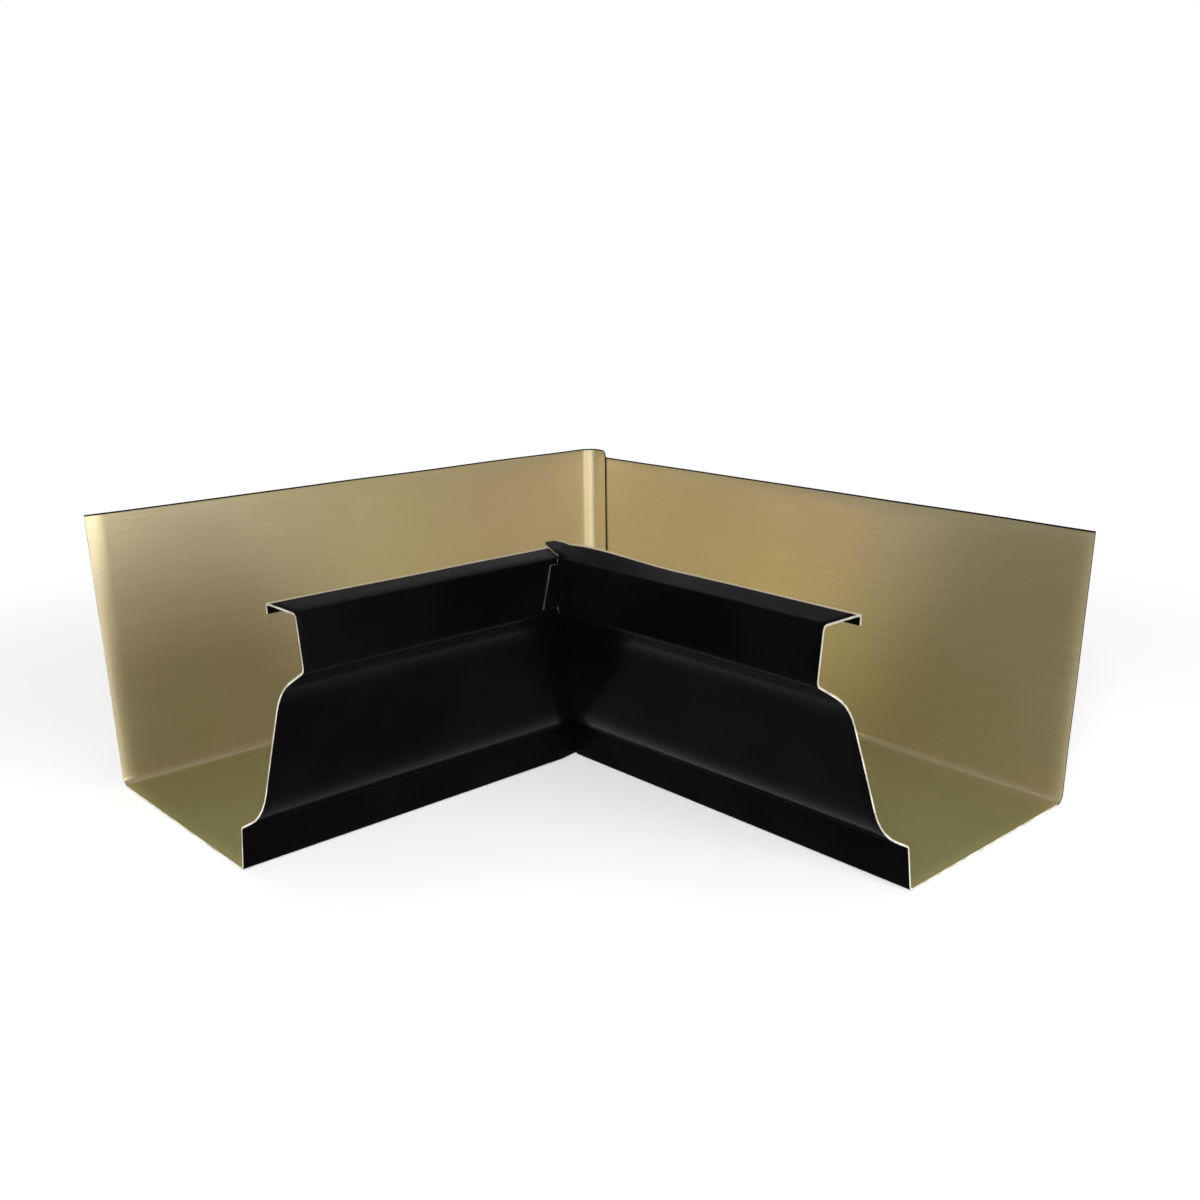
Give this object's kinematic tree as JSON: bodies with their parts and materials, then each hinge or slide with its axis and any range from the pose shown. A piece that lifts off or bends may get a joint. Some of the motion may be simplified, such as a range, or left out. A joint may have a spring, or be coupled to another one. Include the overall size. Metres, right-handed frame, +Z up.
{
  "type": "inside gutter miter",
  "caption": "Inside corner of a K-style rain gutter: folded aluminium halves, mitred and lapped, that carry water round an inward corner of the eaves.",
  "frame": {"origin": "outer back corner on the underside, where the two back faces and the floor plane meet", "axes": "+X along the right leg, -Y along the left leg, +Z up; the backs lie on x = 0 and y = 0"},
  "size_m": [0.2255, 0.214, 0.092],
  "materials": {
    "coated_sheet": "satin black paint outside, brushed khaki wash coat inside, bare cut edges"
  },
  "bodies": {
    "root": {"left_half": "coated_sheet", "right_half": "coated_sheet"}
  },
  "joints": []
}
